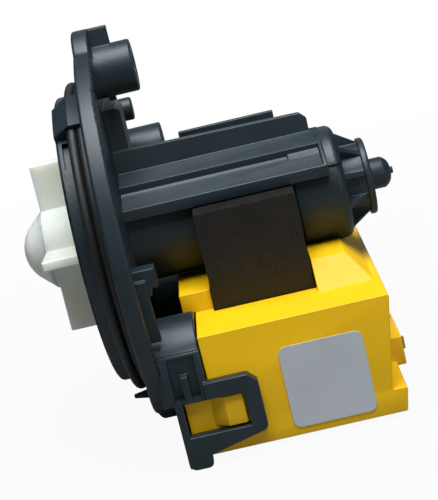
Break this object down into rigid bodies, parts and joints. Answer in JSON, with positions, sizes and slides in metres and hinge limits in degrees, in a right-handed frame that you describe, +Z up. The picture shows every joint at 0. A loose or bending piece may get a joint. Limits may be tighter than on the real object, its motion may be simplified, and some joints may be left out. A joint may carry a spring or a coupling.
{
  "type": "washer drain pump",
  "caption": "Washing machine drain pump with a bladed impeller in a round flange, a ribbed rotor can, a laminated core and a boxed coil with a rear connector.",
  "frame": {"origin": "where the rotor axis meets the front seat face of the flange", "axes": "+X along the rotor axis from the impeller to the rear nub, +Z up from the coil box to the top screw boss, -Y out of the side with the label"},
  "size_m": [0.0871, 0.088, 0.0928],
  "materials": {
    "housing_plastic": "fine moulded texture",
    "seal_rubber": "matt",
    "impeller_plastic": "slightly translucent",
    "core_steel": "varnished laminations",
    "rivet_steel": "dull",
    "cover_plastic": "satin",
    "label_film": "silver film, bare",
    "blade_brass": "stamped",
    "bearing_bronze": "sintered",
    "shaft_steel": "ground",
    "magnet_ferrite": "ground",
    "inner_plastic": "moulded",
    "washer_plastic": "smooth",
    "copper_wire": "enamelled",
    "cutout_body": "smooth"
  },
  "bodies": {
    "housing": {"pump_housing": "housing_plastic", "flange_seal": "seal_rubber", "chamber_cover": "housing_plastic", "cover_seal": "seal_rubber", "shaft_seal": "seal_rubber", "front_bearing": "bearing_bronze", "front_bearing_boot": "seal_rubber", "rear_bearing": "bearing_bronze", "rear_bearing_boot": "seal_rubber", "stator_core": "core_steel", "core_rivets": "rivet_steel", "coil_bobbin_near": "inner_plastic", "coil_bobbin_far": "inner_plastic", "winding_near": "copper_wire", "winding_far": "copper_wire", "thermal_cutout": "cutout_body", "coil_link": "copper_wire", "coil_cover": "cover_plastic", "coil_cover_base": "cover_plastic", "terminal_blade_near": "blade_brass", "terminal_blade_far": "blade_brass", "terminal_lead_near": "copper_wire", "terminal_lead_far": "copper_wire", "rating_label": "label_film"},
    "rotor": {"rotor_shaft": "shaft_steel", "rotor_carrier": "inner_plastic", "rotor_magnet": "magnet_ferrite", "front_thrust_washer": "washer_plastic", "rear_thrust_washer": "washer_plastic", "drive_dog": "inner_plastic"},
    "impeller": {"impeller": "impeller_plastic", "impeller_cap": "impeller_plastic", "clutch_damper": "seal_rubber"}
  },
  "joints": [
    {"name": "rotor_spin", "type": "hinge", "parent": "housing", "child": "rotor", "pos_m": [0, 0, 0], "axis": [1, 0, 0], "continuous": true},
    {"name": "impeller_play", "type": "hinge", "parent": "rotor", "child": "impeller", "pos_m": [0, 0, 0], "axis": [1, 0, 0], "range_deg": [-125, 125]}
  ]
}
